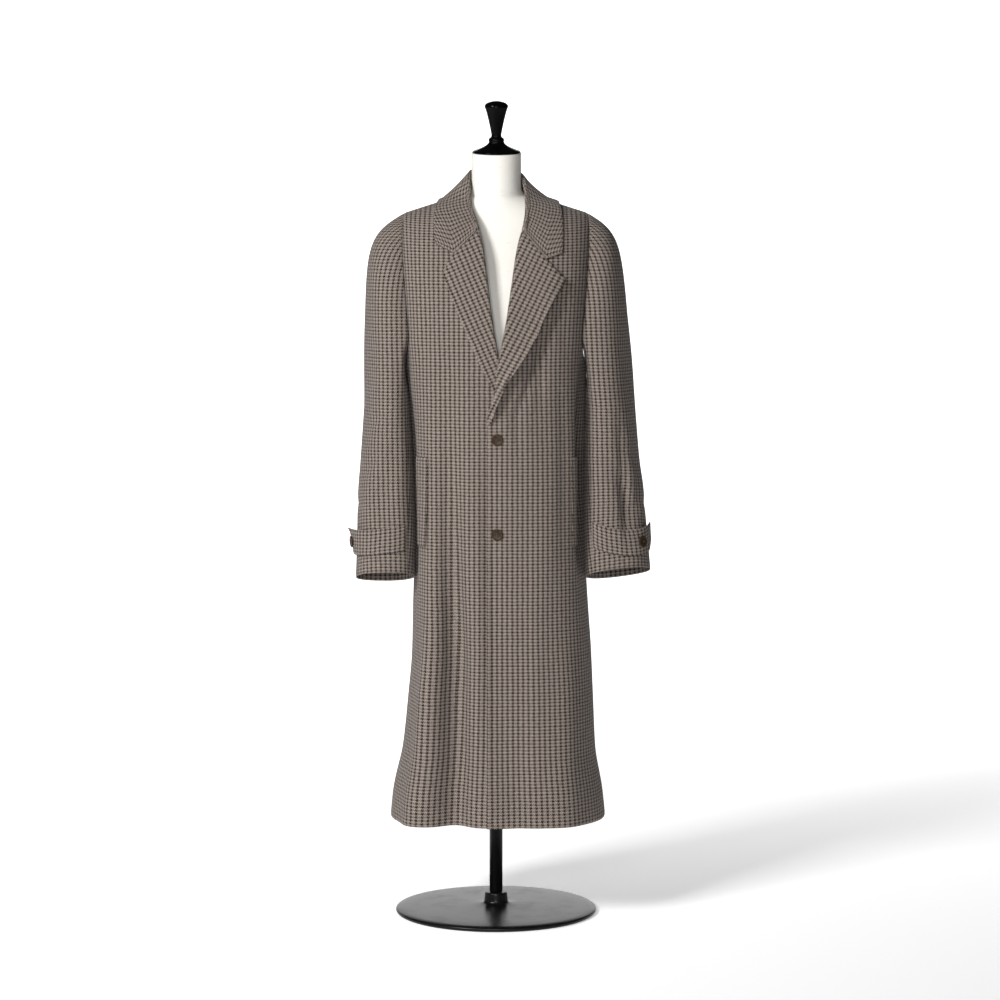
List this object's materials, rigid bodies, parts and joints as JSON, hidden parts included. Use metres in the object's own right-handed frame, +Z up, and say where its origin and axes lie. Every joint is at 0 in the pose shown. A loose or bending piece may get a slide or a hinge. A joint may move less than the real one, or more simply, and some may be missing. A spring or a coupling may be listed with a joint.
{
  "type": "tweed coat on a dress form",
  "caption": "Long single-breasted tweed overcoat with notched lapels and strapped cuffs, displayed on a limbless canvas dress form with a knob and a round-footed stand.",
  "frame": {"origin": "middle of the stand's underside, on the floor", "axes": "+Z up, -Y to the coat's front, +X to the wearer's left"},
  "size_m": [0.5758, 0.385, 1.545],
  "materials": {
    "tweed": "wool tweed in a small check",
    "horn": "mottled brown, satin",
    "canvas": "cream canvas, matt",
    "lacquer": "black lacquer, gloss",
    "enamel": "black enamel, satin"
  },
  "bodies": {
    "root": {"right_front": "tweed", "right_back": "tweed", "right_upper_sleeve": "tweed", "right_under_sleeve": "tweed", "right_lapel": "tweed", "right_pocket_welt": "tweed", "right_cuff_strap": "tweed", "left_front": "tweed", "left_back": "tweed", "left_upper_sleeve": "tweed", "left_under_sleeve": "tweed", "left_lapel": "tweed", "left_pocket_welt": "tweed", "left_cuff_strap": "tweed", "collar": "tweed", "upper_front_button": "horn", "lower_front_button": "horn", "right_cuff_button": "horn", "left_cuff_button": "horn", "form_torso": "canvas", "form_finial": "lacquer", "form_pole": "enamel", "form_base": "enamel"}
  },
  "joints": []
}
